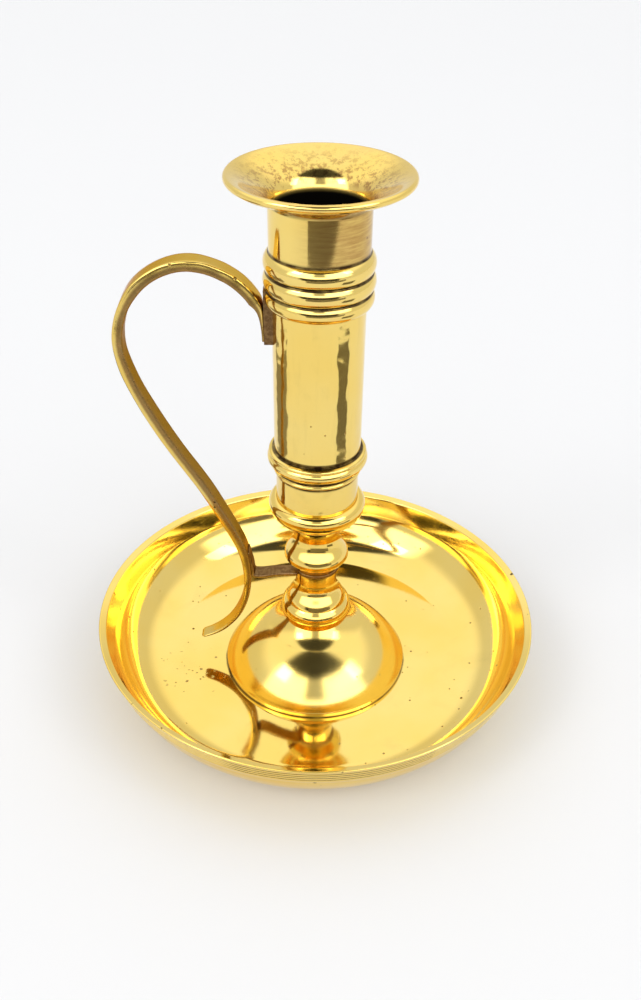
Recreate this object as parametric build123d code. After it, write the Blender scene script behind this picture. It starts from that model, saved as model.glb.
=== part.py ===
from build123d import *
import os
from math import cos, radians, sin, sqrt, tan

# Brass chamber candlestick: a drip pan, a turned stem, a flared nozzle and a strap handle.
# Millimetres, +Z up.  The origin is the centre of the pan's flat base, so the base rests on z = 0.
# The pan, stem and nozzle are turned about the Z axis.  The handle lies on the -X side.

# ---- driving dimensions ----
RIM_R = 70.0            # drip pan outer radius
RIM_TOP = 24.6          # height of the pan's outer edge
BAND_FOOT = (67.8, 17.7)  # radius and height of the lower edge of the pan's sloping band
BAND_GROOVES = 4        # fine V grooves around that band
FLANGE_W = 2.2          # width of the narrow flange on top of the band
FLOOR_T = 3.6           # thickness of the pan floor
WALL_T = 1.6            # thickness of the pan's curved wall
BOWL_START_R = 49.5     # radius where the flat floor turns into the curved wall
BOWL_LOW_R = 14.8       # radius of curvature of the lower half of the wall's inside
BOWL_HIGH_R = 24.0      # radius of curvature of the upper half of the wall's inside
ROD_R = 3.0             # tie rod radius
ROD_HOLE_R = 3.2        # hole radius for the tie rod in every stem piece
HUB_TOP = 8.6           # top of the hub that the pan floor rises to under the dome
RECESS_R = 13.0         # radius of the recess under the pan, which hides the base nut
RECESS_Z = 6.0          # ceiling of that recess
KNOP_SEAT_Z = 23.2      # joint between the foot dome and the lower knop
EYE_Z = 41.9            # underside of the brace's eye, on top of the lower knop
EYE_R = 7.1             # outer radius of the brace's eye
BRACE_T = 1.2           # thickness of the brace strip and its eye
BRACE_W = 5.0           # width of the brace strip
CUP_BASE_Z = 61.2       # joint between the upper knop and the cup
CUP_TOP_Z = 69.4        # upper edge of the cup
TUBE_BASE_Z = 64.4      # underside of the candle tube's floor, inside the cup
TUBE_FLOOR_T = 3.0      # thickness of the tube's floor
TUBE_FOOT_R = 12.05     # outer radius of the tube's lower end, which stands in the cup
TUBE_BORE_R = 10.9      # inner radius of the candle tube
COLUMN_R = 12.45        # outer radius of the candle tube above its rings
COLLAR_Z = 129.2        # joint between the candle tube and the nozzle
NECK_R = 13.1           # outer radius of the nozzle neck
SOCKET_R = 12.0         # candle socket bore radius
SOCKET_FLOOR_Z = 131.0  # ledge that the candle stands on
THROAT_Z = 154.2        # top of the straight socket bore
LIP_R = 23.7            # nozzle lip radius
TOP_Z = 162.2           # top of the nozzle lip
STRAP_W = 6.0           # width of the handle strap
STRAP_T = 2.9           # thickness of the handle strap
STRAP_X = -14.5         # where the strap's end lies flat against its pad
STRAP_END_Z = 119.0     # lower end of the strap where it is fixed to the column
PAD_TOP_Z = 133.4       # top of the pad between the strap and the column
TAIL_TIP_W = 4.4        # width of the strap at the tip of its tail
TAIL_ZONE_Z = 15.0      # half the height of the zone in which the tail narrows
NUT_AF = 10.0           # width across flats of both hexagon nuts


def turned(outline):
    """A solid turned about Z from a closed outline of edges in the XZ plane."""
    return revolve(make_face(Wire(outline)), axis=Axis.Z, revolution_arc=360)


def at(r, z):
    """A point of a turned outline, from its radius and height."""
    return Vector(r, 0, z)


def lines(*points):
    """Straight edges through (radius, height) points."""
    return [Line(at(*a), at(*b)) for a, b in zip(points, points[1:])]


def arc(start, middle, end):
    """A circular edge through three (radius, height) points."""
    return ThreePointArc(at(*start), at(*middle), at(*end))


def ring(outer_r, inner_r, low, high):
    """A plain flat ring or tube about Z."""
    return turned(lines((inner_r, low), (outer_r, low), (outer_r, high), (inner_r, high), (inner_r, low)))


def pan_wall(offset, slope):
    """Point of the pan's wall where it slopes at an angle, offset outwards from the inside face."""
    turn = radians(45)
    shift = BOWL_HIGH_R - BOWL_LOW_R
    radius, r, z = BOWL_LOW_R, BOWL_START_R, FLOOR_T + BOWL_LOW_R
    if radians(slope) > turn:
        radius, r, z = BOWL_HIGH_R, r - shift * sin(turn), z + shift * cos(turn)
    radius += offset
    return (r + radius * sin(radians(slope)), z - radius * cos(radians(slope)))


def grooved_band(start, end):
    """Straight edges from start to end with evenly spaced V grooves cut into them."""
    half_width, depth = 0.3, 0.35
    along = (at(*end) - at(*start)).normalized()
    inward = Vector(-along.Z, 0, along.X)
    points = [at(*start)]
    for i in range(BAND_GROOVES):
        middle = at(*start) + (at(*end) - at(*start)) * ((i + 1) / (BAND_GROOVES + 1))
        points += [middle - along * half_width, middle + inward * depth, middle + along * half_width]
    points.append(at(*end))
    return [Line(a, b) for a, b in zip(points, points[1:])]


def drip_pan():
    """Dished pan: a flat floor with a raised hub, a curved wall and a grooved band under a flange."""
    foot, turn, head = 25, 45, 72
    hub_r, rim_round = 16.0, 0.4
    wall_foot = pan_wall(WALL_T, foot)
    base_r = wall_foot[0] - wall_foot[1] / tan(radians(foot))
    band_head = (RIM_R, RIM_TOP - rim_round)
    rim_top = (RIM_R - rim_round, RIM_TOP)
    rim_middle = (RIM_R - rim_round * (1 - sin(radians(45))), RIM_TOP - rim_round * (1 - cos(radians(45))))
    flange_r, flange_z = RIM_R - FLANGE_W, RIM_TOP - 0.7
    outline = lines((ROD_HOLE_R, RECESS_Z), (RECESS_R, RECESS_Z), (RECESS_R, 0), (base_r, 0), wall_foot)
    outline += [arc(wall_foot, pan_wall(WALL_T, 35), pan_wall(WALL_T, turn))]
    outline += [arc(pan_wall(WALL_T, turn), pan_wall(WALL_T, 60), pan_wall(WALL_T, head))]
    outline += lines(pan_wall(WALL_T, head), BAND_FOOT)
    outline += grooved_band(BAND_FOOT, band_head)
    outline += [arc(band_head, rim_middle, rim_top)]
    outline += lines(rim_top, (flange_r, flange_z), (flange_r - 0.2, flange_z - 0.4), pan_wall(0, head))
    outline += [arc(pan_wall(0, head), pan_wall(0, 60), pan_wall(0, turn))]
    outline += [arc(pan_wall(0, turn), pan_wall(0, 20), pan_wall(0, 0))]
    outline += lines(pan_wall(0, 0), (hub_r, FLOOR_T), (hub_r - 1, HUB_TOP), (ROD_HOLE_R, HUB_TOP),
                     (ROD_HOLE_R, RECESS_Z))
    return turned(outline)


def foot_dome():
    """Hollow domed foot that stands on the pan floor and carries the stem."""
    dome_r, centre_z = 34.0, -11.35
    edge_r, cove_r, seat_r = 29.7, 15.5, 10.1
    shell_t = 1.8
    shell_r = dome_r - shell_t
    boss_r, boss_z = 9.0, 16.0

    def cap(radius, r):
        return (r, centre_z + sqrt(radius ** 2 - r ** 2))

    rim = cap(dome_r, edge_r - 0.2)
    foot = cap(shell_r, edge_r - shell_t - 0.6)
    head = cap(shell_r, boss_r + 1.5)
    outline = lines((foot[0], FLOOR_T), (edge_r, FLOOR_T), (edge_r, rim[1] - 0.25), rim)
    outline += [arc(rim, cap(dome_r, 22), cap(dome_r, cove_r))]
    outline += [arc(cap(dome_r, cove_r), (12.5, 20.75), (seat_r, KNOP_SEAT_Z))]
    outline += lines((seat_r, KNOP_SEAT_Z), (ROD_HOLE_R, KNOP_SEAT_Z), (ROD_HOLE_R, boss_z), (boss_r, boss_z), head)
    outline += [arc(head, cap(shell_r, 20), foot)]
    outline += lines(foot, (foot[0], FLOOR_T))
    return turned(outline)


def lower_knop():
    """Large knop: a bulging band, a crease, an ogee and the neck that the brace's eye rests on."""
    neck_r = 6.4
    outline = lines((ROD_HOLE_R, KNOP_SEAT_Z), (10.3, KNOP_SEAT_Z), (10.5, 23.8))
    outline += [arc((10.5, 23.8), (11.2, 26.6), (9.7, 29.9))]
    outline += lines((9.7, 29.9), (9.5, 30.1))
    outline += [Spline(at(9.5, 30.1), at(8.6, 32.2), at(7.0, 34.8), at(neck_r, 38.0),
                       tangents=((-0.3, 0, 1), (0, 0, 1)))]
    outline += lines((neck_r, 38.0), (neck_r, EYE_Z), (ROD_HOLE_R, EYE_Z), (ROD_HOLE_R, KNOP_SEAT_Z))
    return turned(outline)


def upper_knop():
    """Small knop: a bevel under a sharp equator, an ogee above it and the neck under the cup."""
    base_z = EYE_Z + BRACE_T
    neck_r = 7.0
    outline = lines((ROD_HOLE_R, base_z), (6.6, base_z), (6.9, 43.9), (9.0, 46.0), (9.9, 47.2))
    outline += [Spline(at(9.9, 47.2), at(9.75, 48.8), at(8.7, 51.0), at(7.4, 53.6), at(neck_r, 56.0),
                       tangents=((0.05, 0, 1), (0, 0, 1)))]
    outline += [arc((neck_r, 56.0), (7.2, 58.8), (8.1, CUP_BASE_Z))]
    outline += lines((8.1, CUP_BASE_Z), (ROD_HOLE_R, CUP_BASE_Z), (ROD_HOLE_R, base_z))
    return turned(outline)


def column_cup():
    """Rounded cup that the foot of the candle tube stands in."""
    outline = lines((ROD_HOLE_R, CUP_BASE_Z), (8.1, CUP_BASE_Z), (9.0, 61.9))
    outline += [arc((9.0, 61.9), (12.9, 63.3), (14.35, 66.4))]
    outline += [arc((14.35, 66.4), (14.0, 68.3), (12.6, CUP_TOP_Z))]
    outline += lines((12.6, CUP_TOP_Z), (TUBE_FOOT_R, CUP_TOP_Z), (TUBE_FOOT_R, TUBE_BASE_Z),
                     (ROD_HOLE_R, TUBE_BASE_Z), (ROD_HOLE_R, CUP_BASE_Z))
    return turned(outline)


def candle_tube():
    """Straight hollow column with a double ring and a thin bead turned near its foot."""
    floor_top = TUBE_BASE_Z + TUBE_FLOOR_T
    outline = lines((ROD_HOLE_R, TUBE_BASE_Z), (TUBE_FOOT_R, TUBE_BASE_Z), (TUBE_FOOT_R, 78.7))
    outline += [arc((TUBE_FOOT_R, 78.7), (12.75, 79.2), (12.35, 79.8))]
    outline += [arc((12.35, 79.8), (12.7, 81.0), (13.7, 81.7))]
    outline += [arc((13.7, 81.7), (14.5, 83.2), (13.9, 84.6))]
    outline += [arc((13.9, 84.6), (14.1, 85.2), (13.5, 85.8))]
    outline += lines((13.5, 85.8), (COLUMN_R, 86.0), (COLUMN_R, COLLAR_Z), (TUBE_BORE_R, COLLAR_Z),
                     (TUBE_BORE_R, floor_top), (ROD_HOLE_R, floor_top), (ROD_HOLE_R, TUBE_BASE_Z))
    return turned(outline)


def nozzle():
    """Candle nozzle: three bead rings, a neck, a flared lip and a spigot that fits inside the tube."""
    spigot_r, spigot_z, drain_r = TUBE_BORE_R - 0.05, 121.0, 9.2
    ring_z = (COLLAR_Z, 133.5, 138.3, 143.3)
    ring_foot = (13.2, 13.7, 13.7, NECK_R)
    ring_crest = (14.5, 14.7, 14.55)
    outline = lines((drain_r, spigot_z), (spigot_r, spigot_z), (spigot_r, COLLAR_Z), (ring_foot[0], COLLAR_Z))
    for i, crest in enumerate(ring_crest):
        low, high = (ring_foot[i], ring_z[i]), (ring_foot[i + 1], ring_z[i + 1])
        outline += [arc(low, (crest, (low[1] + high[1]) / 2), high)]
    outline += lines((NECK_R, ring_z[3]), (NECK_R, 155.2))
    outline += [arc((NECK_R, 155.2), (14.2, 156.9), (16.0, 157.6))]
    outline += lines((16.0, 157.6), (22.2, 159.9), (22.9, 160.4))
    outline += [arc((22.9, 160.4), (LIP_R, 161.3), (22.9, TOP_Z))]
    outline += [Spline(at(22.9, TOP_Z), at(18.6, 160.5), at(14.0, 157.6), at(SOCKET_R, THROAT_Z),
                       tangents=((-1, 0, -0.15), (-0.25, 0, -1)))]
    outline += lines((SOCKET_R, THROAT_Z), (SOCKET_R, SOCKET_FLOOR_Z), (drain_r, SOCKET_FLOOR_Z),
                     (drain_r, spigot_z))
    seat_depth = 1.0
    seat = Pos(STRAP_X + seat_depth - 5, 0, COLLAR_Z) * Box(10, STRAP_W, 2 * (PAD_TOP_Z - COLLAR_Z))
    return turned(outline) - seat


def strap_face():
    """The curve of the strap's outer face, from its fixed end over the arch and down to the tail tip."""
    return Spline(at(STRAP_X, STRAP_END_Z), at(STRAP_X, 124.5), at(-14.9, 129.0), at(-17.1, 132.9),
                  at(-21.4, 136.9), at(-26.9, 139.7), at(-33.8, 141.0), at(-41.2, 139.3), at(-47.9, 134.8),
                  at(-52.7, 127.8), at(-55.0, 118.3), at(-53.4, 108.5), at(-48.9, 97.2), at(-40.7, 81.6),
                  at(-34.2, 70.6), at(-28.4, 58.7), at(-24.2, 48.6), at(-22.8, 38.5), at(-23.8, 29.3),
                  at(-26.8, 22.1), at(-31.3, 16.8), at(-37.8, 13.2),
                  tangents=((0, 0, 1), (-1, 0, -0.35)))


def strap_thickness(u):
    """Thickness at a fraction u of the strap's length: feathered at the fixed end, tapered to the tail."""
    feather, tail = 0.065, 0.78
    thin_end, thin_tip = 0.5, 0.6
    if u < feather:
        return thin_end + (STRAP_T - thin_end) * (u / feather) ** 2
    if u > tail:
        return STRAP_T + (thin_tip - STRAP_T) * (u - tail) / (1 - tail)
    return STRAP_T


def handle_strap():
    """Bent strap of even width whose tail narrows to a blunt tip above the pan."""
    outer = strap_face()
    steps = 44
    inner_points = []
    for i in range(steps + 1):
        u = i / steps
        tangent = outer % u
        inward = Vector(-tangent.Z, 0, tangent.X)
        inner_points.append((outer @ u) + inward * strap_thickness(u))
    inner = Spline(*inner_points)
    side = make_face(Wire([outer, Line(outer @ 1, inner @ 1), inner, Line(inner @ 0, outer @ 0)]))
    strap = extrude(side, STRAP_W / 2, dir=(0, 1, 0), both=True)
    tail_x, tip_x, beyond = -24.0, -38.2, 10.0
    wide, narrow = STRAP_W / 2, TAIL_TIP_W / 2
    tail_plan = Polygon((tail_x, -wide), (tail_x, wide), (tip_x, narrow), (tip_x - beyond, narrow),
                        (tip_x - beyond, -narrow), (tip_x, -narrow), align=None)
    tail_zone = Pos(tail_x - 2 * beyond, 0, TAIL_ZONE_Z) * Box(4 * beyond, 2 * STRAP_W, 2 * TAIL_ZONE_Z)
    return strap - (tail_zone - extrude(tail_plan, 4 * TAIL_ZONE_Z, both=True))


def handle_pad(column, strap):
    """Filler pad between the strap's fixed end and the round column."""
    depth, low = 4.0, STRAP_END_Z - 0.4
    block = Pos(STRAP_X + depth / 2, 0, (low + PAD_TOP_Z) / 2) * Box(depth, STRAP_W, PAD_TOP_Z - low)
    socket = Pos(0, 0, (low + PAD_TOP_Z) / 2) * Cylinder(SOCKET_R + 0.2, PAD_TOP_Z - low + 2)
    return block - column[0] - column[1] - socket - strap


def handle_brace(strap):
    """Flat strip from an eye on the tie rod out to the strap, where it turns up into a tab."""
    eye = ring(EYE_R, ROD_HOLE_R, EYE_Z, EYE_Z + BRACE_T)
    top, low_top, tab_top = EYE_Z + BRACE_T, 39.6, 48.5
    stem_x, stem_y, bend_x = -5.0, -3.1, -6.6
    corner_x, tab_x, back_x = -19.2, -20.8, -22.0
    half = BRACE_W / 2
    side = Polygon((stem_x, top), (bend_x, top), (corner_x, low_top), (corner_x - 0.3, low_top + 1.6),
                   (tab_x, tab_top), (back_x, tab_top), (back_x, low_top - BRACE_T),
                   (corner_x, low_top - BRACE_T), (bend_x, EYE_Z), (stem_x, EYE_Z), align=None)
    plan = Polygon((back_x, -half), (corner_x, -half), (stem_x, stem_y - half), (stem_x, stem_y + half),
                   (corner_x, half), (back_x, half), align=None)
    strip = extrude(Plane.XZ * side, 2 * BRACE_W, both=True) & extrude(plan, tab_top + 1)
    return eye + (strip - strap)


def hex_nut(low, high):
    """Hexagon nut on the tie rod."""
    body = Pos(0, 0, low) * extrude(RegularPolygon(NUT_AF / 2, 6, major_radius=False), high - low)
    return body - Pos(0, 0, (low + high) / 2) * Cylinder(ROD_R, 2 * (high - low))


def main():
    os.makedirs("parts", exist_ok=True)
    rod_low, rod_high = 0.8, 73.6
    washer_t, washer_r = 1.2, 9.0
    nut_t = 3.8
    tube_floor = TUBE_BASE_Z + TUBE_FLOOR_T
    tube, head, strap = candle_tube(), nozzle(), handle_strap()
    nodes = {
        "drip_pan": drip_pan(),
        "foot_dome": foot_dome(),
        "lower_knop": lower_knop(),
        "upper_knop": upper_knop(),
        "column_cup": column_cup(),
        "candle_tube": tube,
        "nozzle": head,
        "handle_strap": strap,
        "handle_pad": handle_pad((tube, head), strap),
        "handle_brace": handle_brace(strap),
        "tie_rod": Pos(0, 0, (rod_low + rod_high) / 2) * Cylinder(ROD_R, rod_high - rod_low),
        "base_washer": ring(washer_r, ROD_HOLE_R, RECESS_Z - washer_t, RECESS_Z),
        "base_nut": hex_nut(RECESS_Z - washer_t - nut_t, RECESS_Z - washer_t),
        "socket_nut": hex_nut(tube_floor, tube_floor + nut_t),
    }
    for name, shape in nodes.items():
        export_step(shape, f"parts/{name}.step")


main()
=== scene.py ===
import bpy
import math
import numpy as np
from mathutils import Matrix, Vector


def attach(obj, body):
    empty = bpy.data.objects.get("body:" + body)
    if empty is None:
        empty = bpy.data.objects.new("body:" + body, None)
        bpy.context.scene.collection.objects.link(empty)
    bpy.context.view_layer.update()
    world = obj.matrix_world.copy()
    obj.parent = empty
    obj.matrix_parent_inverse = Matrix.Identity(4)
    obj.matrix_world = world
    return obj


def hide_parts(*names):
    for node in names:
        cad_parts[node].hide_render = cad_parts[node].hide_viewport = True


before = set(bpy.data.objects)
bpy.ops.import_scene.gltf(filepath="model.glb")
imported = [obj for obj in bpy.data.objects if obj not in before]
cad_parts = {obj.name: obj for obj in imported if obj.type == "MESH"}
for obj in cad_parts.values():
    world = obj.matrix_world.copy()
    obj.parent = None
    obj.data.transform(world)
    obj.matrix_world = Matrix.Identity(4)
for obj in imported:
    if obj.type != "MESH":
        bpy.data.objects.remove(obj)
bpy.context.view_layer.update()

# A brass chamber candlestick: a drip pan, a turned stem, a flared nozzle and a strap handle.
# Outlines are in millimetres, everything else is in metres, +Z up, the handle on the -X side.

MM = 0.001
ROOT = "root"


# ---- outlines: closed loops of (radius, height) points in millimetres ----
ARC_STEPS = 18      # segments in an arc, unless the call says otherwise
CURVE_STEPS = 14    # segments between two knots of a smooth curve
CORNER_STEPS = 6    # points in a softened corner
SOFTEN_FROM = math.radians(16)  # corners that turn by less than this stay as they are
SPREAD_ENDS = [0.12, 0.35]      # short steps left next to the corners when an edge is split
CREASE_REACH = 1.3  # how far to either side of a point its hollow is measured
CREASE_FROM = 0.20  # turn in radians at which a hollow starts to count
CREASE_RANGE = 0.75  # further turn at which it counts in full


class Outline:
    """Grows a closed outline from lines, arcs and smooth curves."""

    def __init__(self, r, z):
        self.points = [np.array((r, z), float)]

    def line(self, *points):
        self.points += [np.array(p, float) for p in points]
        return self

    def arc(self, middle, end, steps=ARC_STEPS):
        a, m, b = self.points[-1], np.array(middle, float), np.array(end, float)
        d = 2 * (a[0] * (m[1] - b[1]) + m[0] * (b[1] - a[1]) + b[0] * (a[1] - m[1]))
        sa, sm, sb = a @ a, m @ m, b @ b
        centre = np.array((sa * (m[1] - b[1]) + sm * (b[1] - a[1]) + sb * (a[1] - m[1]),
                           sa * (b[0] - m[0]) + sm * (a[0] - b[0]) + sb * (m[0] - a[0]))) / d
        radius = np.linalg.norm(a - centre)
        start, mid, stop = (math.atan2(*(p - centre)[::-1]) for p in (a, m, b))
        turn = (stop - start) % (2 * math.pi)
        if (mid - start) % (2 * math.pi) > turn:
            turn -= 2 * math.pi
        for i in range(1, steps + 1):
            angle = start + turn * i / steps
            self.points.append(centre + radius * np.array((math.cos(angle), math.sin(angle))))
        return self

    def curve(self, points, start_dir, end_dir, steps=CURVE_STEPS):
        knots = [self.points[-1]] + [np.array(p, float) for p in points]
        self.points += smooth_curve(knots, start_dir, end_dir, steps)[1:]
        return self


def smooth_curve(knots, start_dir, end_dir, steps):
    """Points of a cubic curve through the knots, with the given directions at its ends."""
    knots = [np.array(k, float) for k in knots]
    gaps = [np.linalg.norm(b - a) for a, b in zip(knots, knots[1:])]
    n = len(knots)
    system, rhs = np.zeros((n, n)), np.zeros((n, len(knots[0])))
    system[0, 0] = system[-1, -1] = 1
    rhs[0] = np.array(start_dir, float) / np.linalg.norm(start_dir)
    rhs[-1] = np.array(end_dir, float) / np.linalg.norm(end_dir)
    for i in range(1, n - 1):
        h0, h1 = gaps[i - 1], gaps[i]
        system[i, i - 1], system[i, i], system[i, i + 1] = h1, 2 * (h0 + h1), h0
        rise, fall = (knots[i] - knots[i - 1]) / h0, (knots[i + 1] - knots[i]) / h1
        rhs[i] = 3 * (h1 * rise + h0 * fall)
    slopes = np.linalg.solve(system, rhs)
    out = [knots[0]]
    for i in range(n - 1):
        h = gaps[i]
        for k in range(1, steps + 1):
            t = k / steps
            start = (2 * t ** 3 - 3 * t ** 2 + 1) * knots[i] + (t ** 3 - 2 * t ** 2 + t) * h * slopes[i]
            end = (3 * t ** 2 - 2 * t ** 3) * knots[i + 1] + (t ** 3 - t ** 2) * h * slopes[i + 1]
            out.append(start + end)
    return out


def walk(points, index, distance, step):
    """The point at a distance along a closed loop from one of its points, forwards or backwards."""
    here, i = points[index], index
    while distance > 0:
        ahead = points[(i + step) % len(points)]
        gap = np.linalg.norm(ahead - here)
        if gap > distance:
            return here + (ahead - here) * distance / gap
        distance -= gap
        i, here = (i + step) % len(points), ahead
    return here


def soften(points, radius):
    """Rounds the sharp corners of a closed loop."""
    out = []
    for i, here in enumerate(points):
        a, b = here - points[i - 1], points[(i + 1) % len(points)] - here
        la, lb = np.linalg.norm(a), np.linalg.norm(b)
        turn = abs(math.atan2(a[0] * b[1] - a[1] * b[0], a @ b))
        if turn < SOFTEN_FROM:
            out.append(here)
            continue
        p = here - a / la * min(radius, la * 0.45)
        q = here + b / lb * min(radius, lb * 0.45)
        for k in range(CORNER_STEPS):
            t = k / (CORNER_STEPS - 1)
            out.append((1 - t) ** 2 * p + 2 * t * (1 - t) * here + t ** 2 * q)
    return out


def spread(points, longest):
    """Splits long edges of a closed loop, with shorter steps next to its corners."""
    out = []
    margin = SPREAD_ENDS[-1]
    for a, b in zip(points, points[1:] + points[:1]):
        gap = np.linalg.norm(b - a)
        if gap < 1e-5:
            continue
        out.append(a)
        if gap > longest:
            inner = max(1, math.ceil((gap - 2 * margin) / longest))
            stops = SPREAD_ENDS + [margin + (gap - 2 * margin) * k / inner for k in range(1, inner)]
            stops += [gap - e for e in SPREAD_ENDS[::-1]]
            out += [a + (b - a) * s / gap for s in stops]
    return out


def signed_area(points):
    return sum(a[0] * b[1] - a[1] * b[0] for a, b in zip(points, points[1:] + points[:1]))


def creases(points):
    """How deep in a hollow corner each point of a closed loop sits, from 0 to 1."""
    sign = -1 if signed_area(points) > 0 else 1
    out = []
    for i, p in enumerate(points):
        a, b = p - walk(points, i, CREASE_REACH, -1), walk(points, i, CREASE_REACH, 1) - p
        turn = math.atan2(a[0] * b[1] - a[1] * b[0], a @ b) * sign
        out.append(min(max((turn - CREASE_FROM) / CREASE_RANGE, 0), 1))
    return out


# ---- meshes ----
SECTION_CORNER = 4  # segments in each rounded corner of a bar's section
SECTION_SIDE = 5    # segments along each side of it


def finish_mesh(name, verts, faces, attributes):
    """A smooth-shaded object from its points and faces, with a number for each point."""
    mesh = bpy.data.meshes.new(name)
    mesh.from_pydata([tuple(v) for v in verts], [], faces)
    mesh.validate()
    mesh.polygons.foreach_set("use_smooth", [True] * len(mesh.polygons))
    for key, values in attributes.items():
        layer = mesh.attributes.new(key, "FLOAT", "POINT")
        layer.data.foreach_set("value", values)
    piece = bpy.data.objects.new(name, mesh)
    bpy.context.scene.collection.objects.link(piece)
    return piece


def lathe(name, outline, segments=256, corner=0.12, longest=0.8, shape=None):
    """A solid turned about Z from a closed outline in millimetres."""
    points = spread(soften(outline.points, corner), longest)
    hollow = creases(points)
    rows = len(points)
    outwards = signed_area(points) > 0
    verts, faces, depth = [], [], []
    for s in range(segments):
        angle = 2 * math.pi * s / segments
        c, d = math.cos(angle), math.sin(angle)
        for (r, z), h in zip(points, hollow):
            if shape:
                r, z = shape(r, z, angle)
            verts.append((r * c * MM, r * d * MM, z * MM))
            depth.append(h)
    for s in range(segments):
        a, b = s * rows, (s + 1) % segments * rows
        for i in range(rows):
            j = (i + 1) % rows
            face = (a + i, b + i, b + j, a + j)
            faces.append(face if outwards else face[::-1])
    return finish_mesh(name, verts, faces, {"crease": depth})


def section(half_w, half_t, corner):
    """The points of a rounded rectangle."""
    corner = min(corner, half_w * 0.9, half_t * 0.9)
    out = []
    centres = [(half_w - corner, half_t - corner, 0), (-half_w + corner, half_t - corner, 90),
               (-half_w + corner, -half_t + corner, 180), (half_w - corner, -half_t + corner, 270)]
    for i, (cx, cy, first) in enumerate(centres):
        for k in range(SECTION_CORNER + 1):
            angle = math.radians(first + 90 * k / SECTION_CORNER)
            out.append((cx + corner * math.cos(angle), cy + corner * math.sin(angle)))
        nx, ny, turn = centres[(i + 1) % 4]
        end = (nx + corner * math.cos(math.radians(turn)), ny + corner * math.sin(math.radians(turn)))
        start = out[-1]
        for k in range(1, SECTION_SIDE):
            t = k / SECTION_SIDE
            out.append((start[0] + (end[0] - start[0]) * t, start[1] + (end[1] - start[1]) * t))
    return out


def sweep(name, stations, corner, wobble):
    """A bar along stations of (centre, across, outward, half width, half thickness), in millimetres."""
    rng = np.random.default_rng(7)
    noise = rng.normal(size=(len(stations), 2))
    kernel = np.hanning(15) / np.hanning(15).sum()
    noise = np.stack([np.convolve(noise[:, k], kernel, "same") for k in range(2)], 1)
    verts, faces, back = [], [], []
    for (centre, across, outward, half_w, half_t), jitter in zip(stations, noise):
        ring = section(half_w * (1 + wobble * jitter[0]), half_t * (1 + wobble * jitter[1]), corner)
        for x, y in ring:
            verts.append((centre + across * x + outward * y) * MM)
            back.append(min(max(0.5 - 0.62 * y / max(half_t, 0.01), 0), 1))
    size = len(verts) // len(stations)
    for s in range(len(stations) - 1):
        for i in range(size):
            j = (i + 1) % size
            faces.append((s * size + i, s * size + j, (s + 1) * size + j, (s + 1) * size + i))
    faces.append(tuple(range(size))[::-1])
    faces.append(tuple((len(stations) - 1) * size + i for i in range(size)))
    return finish_mesh(name, verts, faces, {"back": back})


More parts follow.
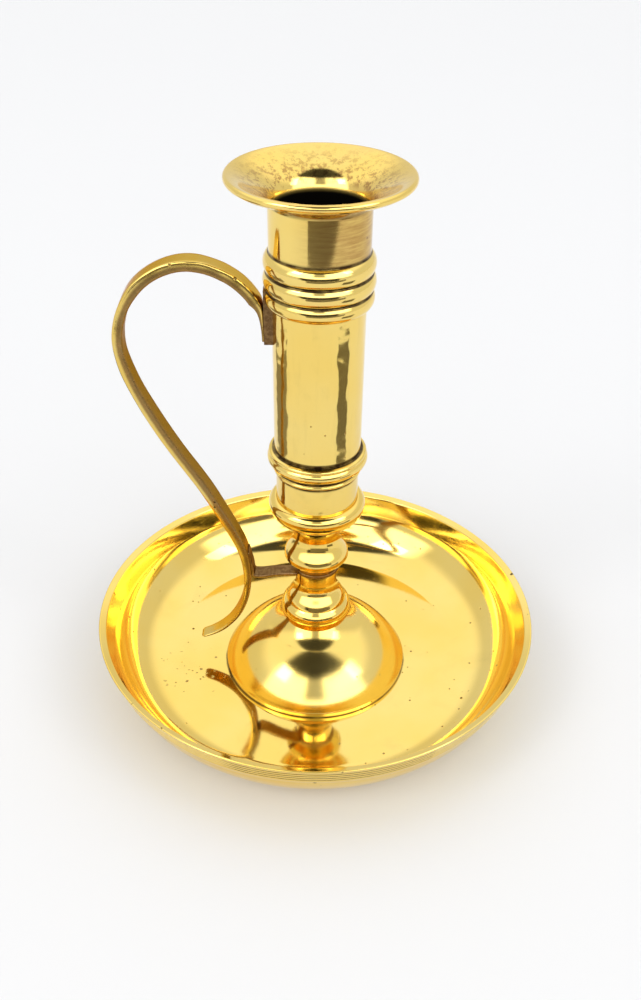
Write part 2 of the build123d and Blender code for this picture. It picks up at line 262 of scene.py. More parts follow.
# ---- brass materials ----
class Nodes:
    """Short calls for building a node tree."""

    def __init__(self, owner):
        owner.use_nodes = True
        self.tree = owner.node_tree
        self.tree.nodes.clear()

    def new(self, kind, **settings):
        node = self.tree.nodes.new("ShaderNode" + kind)
        for key, value in settings.items():
            setattr(node, key, value)
        return node

    def put(self, socket, value):
        if isinstance(value, bpy.types.NodeSocket):
            self.tree.links.new(value, socket)
        else:
            socket.default_value = value

    def math(self, operation, *values, clamp=False):
        node = self.new("Math", operation=operation, use_clamp=clamp)
        for socket, value in zip(node.inputs, values):
            self.put(socket, value)
        return node.outputs[0]

    def times(self, a, b, clamp=False):
        return self.math("MULTIPLY", a, b, clamp=clamp)

    def plus(self, a, b, clamp=False):
        return self.math("ADD", a, b, clamp=clamp)

    def minus(self, a, b):
        return self.math("SUBTRACT", a, b)

    def jitter(self, noise, amount):
        """A noise turned into a number about 0, up to half the amount either way."""
        return self.times(self.minus(noise, 0.5), amount)

    def split(self, vector):
        node = self.new("SeparateXYZ")
        self.put(node.inputs[0], vector)
        return node.outputs

    def length(self, x, y):
        return self.math("SQRT", self.plus(self.times(x, x), self.times(y, y)))

    def ramp(self, value, low, high, to_low=0.0, to_high=1.0):
        node = self.new("MapRange", interpolation_type="SMOOTHSTEP")
        for socket, v in zip(node.inputs, (value, low, high, to_low, to_high)):
            self.put(socket, v)
        return node.outputs[0]

    def fall(self, value, low, high):
        """1 below the low value, 0 above the high one."""
        return self.ramp(value, low, high, 1.0, 0.0)

    def noise(self, vector, scale, detail=3.0, rough=0.55, distortion=0.0):
        node = self.new("TexNoise")
        self.put(node.inputs["Vector"], vector)
        node.inputs["Scale"].default_value = scale
        node.inputs["Detail"].default_value = detail
        node.inputs["Roughness"].default_value = rough
        node.inputs["Distortion"].default_value = distortion
        return node.outputs["Fac"]

    def mix(self, factor, a, b):
        node = self.new("Mix", data_type="RGBA")
        self.put(node.inputs["Factor"], factor)
        self.put(node.inputs[6], a)
        self.put(node.inputs[7], b)
        return node.outputs[2]

    def combine(self, x, y, z):
        node = self.new("CombineXYZ")
        for socket, v in zip(node.inputs, (x, y, z)):
            self.put(socket, v)
        return node.outputs[0]

    def bump(self, height, distance, strength, normal=None):
        node = self.new("Bump")
        node.inputs["Distance"].default_value = distance
        node.inputs["Strength"].default_value = strength
        self.put(node.inputs["Height"], height)
        if normal is not None:
            self.put(node.inputs["Normal"], normal)
        return node.outputs["Normal"]

    def away(self, place, point):
        """The distance from a point."""
        node = self.new("VectorMath", operation="DISTANCE")
        self.put(node.inputs[0], place)
        self.put(node.inputs[1], point)
        return node.outputs["Value"]

    def pits(self, vector, scale, share, size, clump_scale):
        """Scattered small round pits, 1 inside a pit and 0 outside."""
        cells = self.new("TexVoronoi", feature="F1")
        self.put(cells.inputs["Vector"], vector)
        cells.inputs["Scale"].default_value = scale
        cell = self.new("SeparateColor")
        self.put(cell.inputs[0], cells.outputs["Color"])
        clump = self.ramp(self.noise(vector, clump_scale, 1.0), 0.42, 0.72)
        chosen = self.math("LESS_THAN", cell.outputs[0], self.times(clump, share))
        reach = self.plus(self.times(cell.outputs[1], size), 0.02)
        near = self.math("SUBTRACT", 1.0, self.math("DIVIDE", cells.outputs["Distance"], reach), clamp=True)
        return self.times(self.ramp(near, 0.0, 0.45), chosen)

    def surface(self, shader):
        output = self.new("OutputMaterial")
        self.put(output.inputs["Surface"], shader.outputs[0])

    def metal(self, colour, roughness, normal, anisotropy=0.0, tint=(1.0, 1.0, 1.0, 1)):
        """Metal with the given colour, roughness and normal as its surface."""
        shader = self.new("BsdfPrincipled")
        shader.inputs["Metallic"].default_value = 1.0
        shader.inputs["Anisotropic"].default_value = anisotropy
        shader.inputs["Specular Tint"].default_value = tint
        self.put(shader.inputs["Base Color"], colour)
        self.put(shader.inputs["Roughness"], roughness)
        self.put(shader.inputs["Normal"], normal)
        self.surface(shader)


GOLD = (0.90, 0.640, 0.155, 1)
PALE_GOLD = (0.90, 0.685, 0.215, 1)
COPPER = (0.84, 0.40, 0.17, 1)
BROWN = (0.16, 0.085, 0.035, 1)
DARK_BROWN = (0.045, 0.024, 0.010, 1)
GREY_BROWN = (0.22, 0.105, 0.042, 1)
RED_BROWN = (0.36, 0.175, 0.055, 1)
RUBBED_BROWN = (0.40, 0.220, 0.085, 1)
BRACE_BROWN = (0.29, 0.175, 0.070, 1)
# black of the painted shade deep inside the socket
SHADE_BLACK = (0.006, 0.005, 0.004, 1)
TARNISH_TINT = (0.68, 0.47, 0.30, 1)  # what dull brass reflects at a glancing angle

PAN_FLOOR_Z = 0.0036
THROAT_Z = (0.1548, 0.1570)  # heights between which the throat's speckles set in
PIT_DEPTH = 0.00015
WAVE_DEPTH = 0.00010


def polished(name, rough, marks, waves, stain, pitting, pink=0.0, streaks=0.0, crease=0.9, satin=0.0,
             ripple=0.0, throat=None, neck_dark_reflection=None, socket_shade=None, nick=None, cluster=None, joint=None):
    """Turned and polished brass.

    marks: strength of the turning marks      waves, ripple: unevenness of the surface, wide and narrow
    stain, pink, streaks: share of brown, copper and vertical tarnish      crease: strength of the painted shade in hollow corners
    throat: (inner radius, outer radius, amount) of brown speckles inside the lip
    neck: (low, high, amount) of a painted dark reflection, broken by brushed streaks, in a band on the +X, -Y
    side
    soot: (radius, height) inside and below which the socket is painted black as shade
    nick, cluster: (x, y, z, reach) of one dark nick and of a crowd of specks
    joint: radius of the dark line where a piece stands on the pan floor
    """
    material = bpy.data.materials.new(name)
    n = Nodes(material)
    place = n.new("TexCoord").outputs["Object"]
    x, y, z = n.split(place)
    radius = n.length(x, y)
    angle = n.math("ARCTAN2", y, x)

    wander = n.times(n.noise(place, 45.0, 2.0), 0.00012)
    turned_place = n.combine(n.plus(radius, wander), n.times(angle, 0.00022), z)
    fine = n.noise(turned_place, 5200.0, 3.0, 0.7)
    coarse = n.noise(turned_place, 1300.0, 2.0, 0.6)
    lines = n.plus(n.times(fine, 0.6), n.times(coarse, 0.4))
    lathe_lines = n.ramp(n.noise(n.combine(radius, 0.0, z), 900.0, 2.0, 0.8), 0.60, 0.78)
    blotch = n.noise(place, 60.0, 5.0, 0.62, 0.6)
    scratches = n.ramp(n.noise(n.combine(x, n.times(y, 0.05), z), 2600.0, 2.0, 0.7), 0.66, 0.74)

    pit = n.pits(place, 210.0, pitting, 0.16, 38.0)
    speck = n.pits(place, 520.0, pitting * 1.3, 0.22, 55.0)
    if nick:
        pit = n.math("MAXIMUM", pit, n.fall(n.away(place, nick[:3]), nick[3] * 0.7, nick[3]))
    if cluster:
        crowd = n.pits(place, 520.0, 1.1, 0.42, 300.0)
        crowd = n.times(crowd, n.fall(n.away(place, cluster[:3]), cluster[3] * 0.5, cluster[3]))
        speck = n.math("MAXIMUM", speck, crowd)

    # Painted shade: hollow corners are darkened and roughened; the joint adds a dark line where a piece
    # stands on the pan floor.
    depth = n.new("Attribute", attribute_name="crease").outputs["Fac"]
    joint_line_and_hollow_shade = n.times(n.ramp(depth, 0.12, 0.85), crease, clamp=True)
    joint_line_and_hollow_shade = n.times(joint_line_and_hollow_shade, n.ramp(n.noise(place, 260.0, 3.0), 0.25, 0.62, 0.70, 1.0), clamp=True)
    if joint:
        line = n.ramp(n.plus(radius, n.jitter(blotch, 0.0012)), joint - 0.0002, joint + 0.0006, 0.85, 0.0)
        line = n.times(line, n.ramp(z, PAN_FLOOR_Z - 0.0006, PAN_FLOOR_Z - 0.0002))
        joint_line_and_hollow_shade = n.math("MAXIMUM", joint_line_and_hollow_shade, line)

    colour = n.mix(n.ramp(n.noise(place, 24.0, 3.0), 0.35, 0.7), GOLD, PALE_GOLD)
    colour = n.mix(n.times(n.ramp(blotch, 0.55, 0.75), stain, clamp=True), colour, BROWN)
    if pink:
        patch = n.ramp(n.noise(place, 95.0, 4.0, 0.6), 0.52, 0.68)
        colour = n.mix(n.times(patch, pink), colour, COPPER)
    if streaks:
        around = n.noise(n.combine(n.times(angle, 2.4), n.times(z, 22.0), 0.0), 3.0, 4.0, 0.65)
        colour = n.mix(n.times(n.ramp(around, 0.52, 0.70), streaks), colour, BROWN)
    if throat:
        inner, outer, amount = throat
        ring = n.fall(n.plus(radius, n.jitter(blotch, 0.006)), inner, outer)
        ring = n.times(ring, n.ramp(z, *THROAT_Z))
        speckle = n.ramp(n.noise(place, 520.0, 4.0, 0.75), 0.46, 0.60)
        colour = n.mix(n.times(n.times(ring, speckle), amount, clamp=True), colour, RED_BROWN)
    # Painted reflection: a band under the flare is browned on its front-right side where it would mirror the
    # dark pan and rings, with brushed streaks through it.
    if neck_dark_reflection:
        low, high, amount = neck_dark_reflection
        band = n.times(n.ramp(z, low, low + 0.0006), n.fall(z, high - 0.0015, high))
        brushed = n.noise(n.combine(n.times(angle, 0.0012), 0.0, z), 1500.0, 4.0, 0.7)
        brushed = n.ramp(brushed, 0.30, 0.70, 0.45, 1.0)
        facing = n.ramp(n.math("COSINE", n.plus(angle, math.radians(38))), 0.0, 0.95)
        painted_reflection = n.times(n.times(band, brushed), n.times(facing, amount), clamp=True)
        colour = n.mix(painted_reflection, colour, RED_BROWN)
    colour = n.mix(n.times(lathe_lines, 0.10 * marks), colour, BROWN)
    colour = n.mix(n.times(speck, 0.75), colour, BROWN)
    colour = n.mix(n.times(pit, 0.92), colour, DARK_BROWN)
    # painted shade in the hollow corners, together with the dark joint line
    colour = n.mix(joint_line_and_hollow_shade, colour, DARK_BROWN)

    roughness = n.plus(rough, n.times(n.ramp(blotch, 0.4, 0.8), 0.05))
    roughness = n.plus(roughness, n.jitter(lines, 0.10 * marks))
    pits_and_hollows = n.plus(pit, n.times(joint_line_and_hollow_shade, 0.6))
    roughness = n.plus(roughness, n.times(pits_and_hollows, 0.4), clamp=True)
    # Painted shade: deep inside the socket the colour is painted black and made rough.
    if socket_shade:
        reach, top = socket_shade
        socket_shade_mask = n.times(n.fall(radius, reach - 0.0001, reach + 0.0002), n.fall(z, top - 0.0012, top + 0.0010))
        colour = n.mix(socket_shade_mask, colour, SHADE_BLACK)
        roughness = n.math("MAXIMUM", roughness, n.times(socket_shade_mask, 0.85))

    normal = n.bump(n.noise(place, 85.0, 2.0), WAVE_DEPTH * waves, 0.5)
    if ripple:
        normal = n.bump(n.noise(place, 210.0, 1.0, 0.4), WAVE_DEPTH * ripple, 0.6, normal)
    normal = n.bump(lines, 0.000006, marks, normal)
    normal = n.bump(scratches, 0.000004, 0.5, normal)
    holes = n.plus(pit, n.times(speck, 0.5))
    normal = n.bump(n.times(holes, -1.0), PIT_DEPTH, 0.9, normal)
    n.metal(colour, roughness, normal, anisotropy=satin)
    return material


def tarnished(name, gold_share=0.85, base=GREY_BROWN, rough=0.32):
    """Brass that is gold on the outer face and browner and rougher towards the back face and edges, with
    scratches and pits.
    """
    material = bpy.data.materials.new(name)
    n = Nodes(material)
    place = n.new("TexCoord").outputs["Object"]
    x, y, z = n.split(place)
    back = n.new("Attribute", attribute_name="back").outputs["Fac"]
    patchy = n.noise(place, 120.0, 5.0, 0.65)
    fine = n.noise(place, 900.0, 4.0, 0.7)
    drawn_place = n.combine(n.times(y, 30.0), n.times(x, 1.5), n.times(z, 1.5))
    drawn = n.noise(drawn_place, 60.0, 3.0, 0.7)
    dull = n.ramp(n.plus(back, n.jitter(patchy, 0.30)), 0.22, 0.60, 1.0 - gold_share, 0.82)
    pit = n.pits(place, 420.0, 0.34, 0.24, 70.0)

    gold = n.mix(n.ramp(patchy, 0.40, 0.70), GOLD, PALE_GOLD)
    brown = n.mix(n.ramp(fine, 0.35, 0.65), base, BROWN)
    brown = n.mix(n.ramp(drawn, 0.55, 0.75, 0.0, 0.45), brown, RUBBED_BROWN)
    colour = n.mix(dull, gold, brown)
    colour = n.mix(n.times(pit, 0.85), colour, DARK_BROWN)

    smoothest = 0.12
    roughness = n.plus(n.times(dull, rough - smoothest), smoothest)
    roughness = n.plus(roughness, n.jitter(fine, 0.16), clamp=True)

    normal = n.bump(patchy, 0.00016, 0.45)
    normal = n.bump(drawn, 0.00002, 0.6, normal)
    normal = n.bump(n.times(pit, -1.0), PIT_DEPTH, 0.9, normal)
    n.metal(colour, roughness, normal, tint=TARNISH_TINT)
    return material


# ---- the turned pieces ----
ROD_HOLE = 3.2      # radius of the rod's hole through the stem pieces
PAN_FLOOR = 3.6
PAN_WALL = 1.6
# The pan's wall starts, changes its radius and ends at these slopes, in degrees.
BOWL_FOOT, BOWL_TURN, BOWL_HEAD = 25, 45, 72
BAND_FOOT, BAND_HEAD = (67.8, 17.7), (70.0, 24.2)
BAND_GROOVES = 4
KNOP_SEAT, EYE_LOW, EYE_TOP, CUP_SEAT = 23.2, 41.9, 43.1, 61.2
TUBE_LOW, CUP_TOP, COLLAR = 64.4, 69.4, 129.2
TUBE_FOOT_R, TUBE_R, TUBE_BORE = 12.05, 12.45, 10.9


def bowl_point(offset, slope):
    """Point of the pan's wall where it slopes at an angle, offset outwards from the inside face."""
    low_r, high_r, turn = 14.8, 24.0, math.radians(BOWL_TURN)
    slope = math.radians(slope)
    shift = high_r - low_r
    radius, r, z = low_r, 49.5, PAN_FLOOR + low_r
    if slope > turn:
        radius, r, z = high_r, r - shift * math.sin(turn), z + shift * math.cos(turn)
    radius += offset
    return (r + radius * math.sin(slope), z - radius * math.cos(slope))


def pan_outline():
    foot = bowl_point(PAN_WALL, BOWL_FOOT)
    recess_r, recess_z = 13.0, 6.0
    outline = Outline(ROD_HOLE, recess_z).line((recess_r, recess_z), (recess_r, 0.0))
    outline.line((foot[0] - foot[1] / math.tan(math.radians(BOWL_FOOT)), 0.0), foot)
    outline.arc(bowl_point(PAN_WALL, 35), bowl_point(PAN_WALL, BOWL_TURN))
    outline.arc(bowl_point(PAN_WALL, 60), bowl_point(PAN_WALL, BOWL_HEAD), 24)
    outline.line(BAND_FOOT)
    start, end = np.array(BAND_FOOT), np.array(BAND_HEAD)
    along = (end - start) / np.linalg.norm(end - start)
    inward = np.array((-along[1], along[0]))
    half_groove, groove_depth = along * 0.3, inward * 0.35
    for i in range(BAND_GROOVES):
        middle = start + (end - start) * (i + 1) / (BAND_GROOVES + 1)
        outline.line(middle - half_groove, middle + groove_depth, middle + half_groove)
    outline.line(BAND_HEAD).arc((69.883, 24.483), (69.6, 24.6), 6)
    outline.line((67.8, 23.9), (67.6, 23.5), bowl_point(0, BOWL_HEAD))
    outline.arc(bowl_point(0, 60), bowl_point(0, BOWL_TURN), 30)
    outline.arc(bowl_point(0, 20), bowl_point(0, 0), 30)
    return outline.line((16.0, PAN_FLOOR), (15.0, 8.6), (ROD_HOLE, 8.6))


def dome_outline():
    radius, centre_z, shell = 34.0, -11.35, 32.2

    def cap(size, r):
        return (r, centre_z + math.sqrt(size ** 2 - r ** 2))

    rim = cap(radius, 29.5)
    foot = cap(shell, 27.3)
    outline = Outline(27.3, PAN_FLOOR).line((29.7, PAN_FLOOR), (29.7, rim[1] - 0.25), rim)
    outline.arc(cap(radius, 22), cap(radius, 15.5), 40).arc((12.5, 20.75), (10.1, KNOP_SEAT), 18)
    outline.line((ROD_HOLE, KNOP_SEAT), (ROD_HOLE, 16.0), (9.0, 16.0), cap(shell, 10.5))
    return outline.arc(cap(shell, 20), foot, 24)


def lower_knop_outline():
    outline = Outline(ROD_HOLE, KNOP_SEAT).line((10.3, KNOP_SEAT), (10.5, 23.8))
    outline.arc((11.2, 26.6), (9.7, 29.9), 24).line((9.5, 30.1))
    outline.curve([(8.6, 32.2), (7.0, 34.8), (6.4, 38.0)], (-0.3, 1), (0, 1))
    return outline.line((6.4, EYE_LOW), (ROD_HOLE, EYE_LOW))


def upper_knop_outline():
    outline = Outline(ROD_HOLE, EYE_TOP).line((6.6, EYE_TOP), (6.9, 43.9), (9.0, 46.0), (9.9, 47.2))
    outline.curve([(9.75, 48.8), (8.7, 51.0), (7.4, 53.6), (7.0, 56.0)], (0.05, 1), (0, 1))
    return outline.arc((7.2, 58.8), (8.1, CUP_SEAT), 12).line((ROD_HOLE, CUP_SEAT))


def cup_outline():
    outline = Outline(ROD_HOLE, CUP_SEAT).line((8.1, CUP_SEAT), (9.0, 61.9))
    outline.arc((12.9, 63.3), (14.35, 66.4), 20).arc((14.0, 68.3), (12.6, CUP_TOP), 16)
    return outline.line((TUBE_FOOT_R, CUP_TOP), (TUBE_FOOT_R, TUBE_LOW), (ROD_HOLE, TUBE_LOW))


def tube_outline():
    floor_top = TUBE_LOW + 3.0
    outline = Outline(ROD_HOLE, TUBE_LOW).line((TUBE_FOOT_R, TUBE_LOW), (TUBE_FOOT_R, 78.7))
    outline.arc((12.75, 79.2), (12.35, 79.8), 8).arc((12.7, 81.0), (13.7, 81.7), 10)
    outline.arc((14.5, 83.2), (13.9, 84.6), 16).arc((14.1, 85.2), (13.5, 85.8), 8)
    outline.line((TUBE_R, 86.0), (TUBE_R, COLLAR), (TUBE_BORE, COLLAR))
    return outline.line((TUBE_BORE, floor_top), (ROD_HOLE, floor_top))


def nozzle_outline():
    spigot_r, spigot_z, drain_r, ledge_z = 10.85, 121.0, 9.2, 131.0
    neck_r, bore_r, throat_z = 13.1, 12.0, 154.2
    rings = ((13.2, COLLAR), (13.7, 133.5), (13.7, 138.3), (neck_r, 143.3))
    outline = Outline(drain_r, spigot_z).line((spigot_r, spigot_z), (spigot_r, COLLAR), rings[0])
    for low, high, crest in zip(rings, rings[1:], (14.5, 14.7, 14.55)):
        outline.arc((crest, (low[1] + high[1]) / 2), high, 20)
    outline.line((neck_r, 155.2)).arc((14.2, 156.9), (16.0, 157.6), 10).line((22.2, 159.9), (22.9, 160.4))
    outline.arc((23.7, 161.3), (22.9, 162.2), 14)
    outline.curve([(18.6, 160.5), (14.0, 157.6), (bore_r, throat_z)], (-1, -0.15), (-0.25, -1), 20)
    return outline.line((bore_r, ledge_z), (drain_r, ledge_z))


def filed_ring(r, z, angle):
    """Flattens the nozzle's lowest ring behind the handle's pad."""
    low, high, neck_r, half_w, flat = 125, 133.4, 13.0, 3.0, 13.5
    beside = low < z < high and r > neck_r and math.cos(angle) < 0
    if beside and abs(r * math.sin(angle)) < half_w:
        return min(r, flat / abs(math.cos(angle))), z
    return r, z


# ---- the handle ----
STRAP_FACE = [(-14.5, 119.0), (-14.5, 124.5), (-14.9, 129.0), (-17.1, 132.9), (-21.4, 136.9), (-26.9, 139.7),
              (-33.8, 141.0), (-41.2, 139.3), (-47.9, 134.8), (-52.7, 127.8), (-55.0, 118.3), (-53.4, 108.5),
              (-48.9, 97.2), (-40.7, 81.6), (-34.2, 70.6), (-28.4, 58.7), (-24.2, 48.6), (-22.8, 38.5),
              (-23.8, 29.3), (-26.8, 22.1), (-31.3, 16.8), (-37.8, 13.2)]
STRAP_W, STRAP_T = 6.0, 2.9
FEATHER, FEATHER_T = 0.065, 0.5  # share of the length that thins towards the fixed end, and to what
TAPER_FROM, TIP_T = 0.78, 0.6    # share of the length from which the tail thins, and to what
TAIL_START, TAIL_RUN, TAIL_ZONE_Z, TAIL_TIP_W = -24.0, 14.2, 32.0, 4.4
BRACE_LINE = [(-5.4, -3.1, 42.5), (-8.5, -2.6, 42.0), (-13.5, -1.4, 40.7), (-17.6, -0.5, 39.4),
              (-19.6, -0.1, 39.6), (-20.0, 0.0, 41.6), (-20.5, 0.0, 45.0), (-21.1, 0.0, 48.4)]
BRACE_HALF_W, BRACE_HALF_T = 2.45, 0.58
EYE_R = 7.1


def strap_thickness(u):
    """Thickness at a fraction of the strap's length: feathered at the fixed end, tapered to the tail."""
    if u < FEATHER:
        return FEATHER_T + (STRAP_T - FEATHER_T) * (u / FEATHER) ** 2
    if u > TAPER_FROM:
        return STRAP_T + (TIP_T - STRAP_T) * (u - TAPER_FROM) / (1 - TAPER_FROM)
    return STRAP_T


def strap_stations():
    """Stations down the strap, from its fixed end over the arch to the tip of the tail."""
    face = smooth_curve(STRAP_FACE, (0, 1), (-1, -0.35), 12)
    lengths = [0.0]
    for a, b in zip(face, face[1:]):
        lengths.append(lengths[-1] + np.linalg.norm(b - a))
    total = lengths[-1]
    stations = []
    for i, p in enumerate(face):
        a, b = face[max(i - 1, 0)], face[min(i + 1, len(face) - 1)]
        along = (b - a) / np.linalg.norm(b - a)
        inward = np.array((-along[1], along[0]))
        thick = strap_thickness(lengths[i] / total)
        width = STRAP_W
        if p[0] < TAIL_START and p[1] < TAIL_ZONE_Z:
            width += (TAIL_TIP_W - STRAP_W) * (TAIL_START - p[0]) / TAIL_RUN
        centre = p + inward * thick / 2
        from_tip = math.sqrt(max(total - lengths[i], 0.02) / 0.8)
        from_end = math.sqrt(max(lengths[i], 0.05) / 0.5)
        rounding = min(1.0, from_tip, from_end)
        stations.append((np.array((centre[0], 0, centre[1])), np.array((0, 1.0, 0)),
                         np.array((-inward[0], 0, -inward[1])), width / 2 * (0.6 + 0.4 * rounding),
                         thick / 2 * (0.35 + 0.65 * rounding)))
    return stations


def brace_stations():
    """The strip from the stem to the strap, then up the strap's inner face as a tab that thins."""
    line = smooth_curve(BRACE_LINE, (-1, 0.2, -0.05), (-0.25, 0, 1), 8)
    thin_from, thinned = 0.6, 0.3
    stations = []
    for i, p in enumerate(line):
        a, b = line[max(i - 1, 0)], line[min(i + 1, len(line) - 1)]
        along = (b - a) / np.linalg.norm(b - a)
        across = np.cross(along, np.cross((0, 1.0, 0), along))
        across /= np.linalg.norm(across)
        outward = np.cross(across, along)
        u = i / (len(line) - 1)
        half_t = BRACE_HALF_T - thinned * max(u - thin_from, 0) / (1 - thin_from)
        stations.append((p, across, outward, BRACE_HALF_W, half_t))
    return stations


# ---- the assembly ----
def add_piece(piece, material, node=None):
    piece.data.materials.append(material)
    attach(piece, ROOT)
    if node:
        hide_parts(node)


def build_stem():
    pan = polished("brass_pan", rough=0.055, marks=0.25, waves=0.45, stain=0.06, pitting=0.24,
                   nick=(0.0667, -0.0208, 0.0232, 0.0013), cluster=(-0.040, -0.008, PAN_FLOOR_Z, 0.015),
                   joint=0.0299)
    dome = polished("brass_dome", rough=0.13, marks=0.9, waves=0.5, stain=0.05, pitting=0.05, satin=0.3)
    knop = polished("brass_knops", rough=0.08, marks=0.5, waves=0.3, stain=0.22, pitting=0.12, crease=1.6)
    column = polished("brass_column", rough=0.075, marks=0.3, waves=3.4, stain=0.10, pitting=0.08,
                      streaks=0.05, ripple=3.2, crease=1.6, socket_shade=(0.0115, 0.2))
    head = polished("brass_nozzle", rough=0.085, marks=0.6, waves=0.5, stain=0.10, pitting=0.08, pink=0.12,
                    crease=1.6, throat=(0.0125, 0.0240, 0.80), neck_dark_reflection=(0.1432, 0.1570, 0.80),
                    socket_shade=(0.01215, 0.1545))
    turned = [
        ("pan_body", pan_outline(), "drip_pan", pan, dict(segments=360, longest=1.0, corner=0.12)),
        ("dome_body", dome_outline(), "foot_dome", dome, dict(segments=320, longest=0.7, corner=0.15)),
        ("lower_knop_body", lower_knop_outline(), "lower_knop", knop, dict(corner=0.12, longest=0.6)),
        ("upper_knop_body", upper_knop_outline(), "upper_knop", knop, dict(corner=0.16, longest=0.6)),
        ("cup_body", cup_outline(), "column_cup", knop, dict(corner=0.15, longest=0.6)),
        ("tube_body", tube_outline(), "candle_tube", column, dict(corner=0.12, longest=1.0)),
        ("nozzle_body", nozzle_outline(), "nozzle", head, dict(corner=0.15, longest=0.8, shape=filed_ring)),
    ]
    for name, outline, node, material, options in turned:
        add_piece(lathe(name, outline, **options), material, node)


def build_handle():
    strap_brass = tarnished("brass_strap")
    brace_brass = tarnished("brass_brace", gold_share=0.0, base=BRACE_BROWN, rough=0.36)
    fixings = tarnished("brass_fixings", gold_share=0.2, rough=0.42)

    strap = sweep("strap_body", strap_stations(), corner=0.55, wobble=0.07)
    add_piece(strap, strap_brass, "handle_strap")
    ring = Outline(ROD_HOLE, EYE_LOW).line((EYE_R, EYE_LOW), (EYE_R, EYE_TOP), (ROD_HOLE, EYE_TOP))
    add_piece(lathe("brace_eye", ring, corner=0.3, longest=0.5), brace_brass)
    strip = sweep("brace_strip", brace_stations(), corner=0.3, wobble=0.06)
    add_piece(strip, brace_brass, "handle_brace")

    for node in ("handle_pad", "tie_rod", "base_washer", "base_nut", "socket_nut"):
        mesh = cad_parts[node].data
        mesh.materials.clear()
        mesh.materials.append(brace_brass if node == "handle_pad" else fixings)


# ---- floor, cards, light and camera ----
FLOOR_WHITE = (0.765, 0.768, 0.777, 1)
FLOOR_SIZE = 6.0
BACKGROUND = (0.955, 0.96, 0.975, 1)


def flat_sheet(name, corners):
    mesh = bpy.data.meshes.new(name)
    mesh.from_pydata(corners, [], [(0, 1, 2, 3)])
    sheet = bpy.data.objects.new(name, mesh)
    bpy.context.scene.collection.objects.link(sheet)
    return sheet


def build_floor():
    size = FLOOR_SIZE
    floor = flat_sheet("floor", [(-size, -size, 0), (size, -size, 0), (size, size, 0), (-size, size, 0)])
    floor.location.z = -0.0001
    material = bpy.data.materials.new("floor_white")
    n = Nodes(material)
    shader = n.new("BsdfPrincipled")
    shader.inputs["Base Color"].default_value = FLOOR_WHITE
    shader.inputs["Roughness"].default_value = 0.9
    shader.inputs["Specular IOR Level"].default_value = 0.0
    n.surface(shader)
    floor.data.materials.append(material)


def build_card(name, corners, shade):
    """A dark card that only shows in reflections."""
    card = flat_sheet(name, corners)
    material = bpy.data.materials.new(name)
    n = Nodes(material)
    shader = n.new("BsdfDiffuse")
    shader.inputs["Color"].default_value = (shade, shade * 0.93, shade * 0.86, 1)
    n.surface(shader)
    card.data.materials.append(material)
    card.visible_camera = card.visible_shadow = card.visible_diffuse = False


def floor_card(name, sides, reach, shade):
    """A card on the floor between two directions in degrees from the front and two distances."""
    low, high = (math.radians(side) for side in sides)
    near, far = reach
    corners = [(d * math.sin(a), -d * math.cos(a), 0.0002)
               for d, a in ((near, low), (far, low), (far, high), (near, high))]
    build_card(name, corners, shade)


def wall_card(name, y, sides, top, shade):
    low, high = sides
    build_card(name, [(low, y, 0.0), (high, y, 0.0), (high, y, top), (low, y, top)], shade)


def build_cards():
    wall_card("card_near", -0.33, (-0.16, 0.42), 0.10, 0.24)
    wall_card("card_far", -1.3, (-0.9, 1.0), 0.30, 0.06)
    floor_card("card_right", (49, 77), (0.150, 0.27), 0.15)
    floor_card("card_left", (-128, -84), (0.15, 0.26), 0.22)


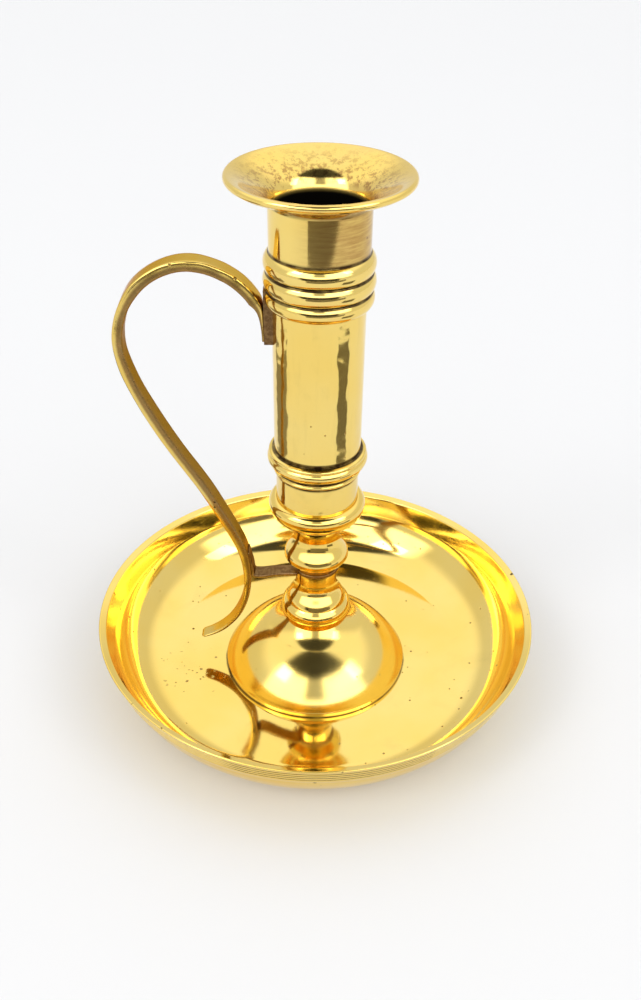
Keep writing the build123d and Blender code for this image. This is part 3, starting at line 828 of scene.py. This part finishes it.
def build_world():
    """A pale studio all round, with brighter and dimmer areas in front that the polished brass reflects."""
    world = bpy.data.worlds.new("studio")
    bpy.context.scene.world = world
    n = Nodes(world)
    x, y, z = n.split(n.new("TexCoord").outputs["Generated"])
    elevation = n.math("ARCTAN2", z, n.length(x, y))
    side = n.math("ABSOLUTE", n.math("ARCTAN2", x, n.times(y, -1.0)))

    def area(low, high, soft, sides):
        """1 between two elevations and near the front, 0 elsewhere; all in degrees."""
        low, high, soft, inner, outer = (math.radians(v) for v in (low, high, soft, *sides))
        rise = n.ramp(elevation, low - soft, low + soft)
        band = n.times(rise, n.fall(elevation, high - soft, high + soft))
        return n.times(band, n.fall(side, inner, outer))

    overhead = area(53, 86, 4, (58, 74))
    low_front = area(-40, 12, 3, (34, 44))
    soft_box = area(13, 52, 3, (62, 72))
    centre = area(27, 60, 4, (9, 18))
    behind = n.times(n.ramp(elevation, math.radians(25), math.radians(43)),
                     n.ramp(side, math.radians(20), math.radians(52)))
    level = n.plus(0.82, n.times(soft_box, 1.7))
    level = n.plus(level, n.times(behind, 0.38))
    for dimmed, amount in ((overhead, 0.94), (low_front, 0.92), (centre, 0.78)):
        level = n.times(level, n.minus(1.0, n.times(dimmed, amount)))

    surround = n.new("Background")
    surround.inputs["Color"].default_value = (1.0, 1.0, 1.0, 1)
    n.put(surround.inputs["Strength"], level)
    plain = n.new("Background")
    plain.inputs["Color"].default_value = BACKGROUND
    chooser = n.new("MixShader")
    n.put(chooser.inputs[0], n.new("LightPath").outputs["Is Camera Ray"])
    n.put(chooser.inputs[1], surround.outputs[0])
    n.put(chooser.inputs[2], plain.outputs[0])
    output = n.new("OutputWorld")
    n.put(output.inputs["Surface"], chooser.outputs[0])


def build_panel(name, place, size, power):
    """A rectangular lamp that shines at the stem."""
    data = bpy.data.lights.new(name, "AREA")
    data.shape = "RECTANGLE"
    data.size, data.size_y = size
    data.energy = power
    lamp = bpy.data.objects.new(name, data)
    lamp.location = place
    aim = Vector((0, 0, 0.05))
    lamp.rotation_euler = (aim - Vector(place)).to_track_quat("-Z", "Y").to_euler()
    bpy.context.scene.collection.objects.link(lamp)


def build_camera():
    place = (0, -0.25515, 0.24354)
    yaw, pitch, roll = 0.0062, 0.7118, -0.0155
    sensor, focal_ratio = 36.0, 1.02736
    flat = math.cos(pitch)
    ahead = Vector((math.sin(yaw) * flat, math.cos(yaw) * flat, -math.sin(pitch)))
    right = Vector((math.cos(yaw), -math.sin(yaw), 0))
    down = ahead.cross(right)
    c, s = math.cos(roll), math.sin(roll)
    across, below = right * c + down * s, down * c - right * s
    data = bpy.data.cameras.new("camera")
    data.sensor_width = sensor
    data.lens = sensor * focal_ratio
    data.shift_y = 0.11
    data.clip_start, data.clip_end = 0.01, 20.0
    camera = bpy.data.objects.new("camera", data)
    turn = Matrix((across, -below, -ahead)).transposed()
    camera.matrix_world = Matrix.Translation(place) @ turn.to_4x4()
    bpy.context.scene.collection.objects.link(camera)
    bpy.context.scene.camera = camera


build_stem()
build_handle()
build_floor()
build_cards()
build_world()
build_panel("key_panel", (-0.75, -0.55, 0.95), (0.35, 0.35), 1.2)
build_panel("fill_panel", (0.85, -0.35, 0.85), (0.3, 0.4), 0.9)
build_camera()
scene = bpy.context.scene
scene.view_settings.view_transform = "Standard"
scene.cycles.max_bounces = 12
scene.cycles.glossy_bounces = 8
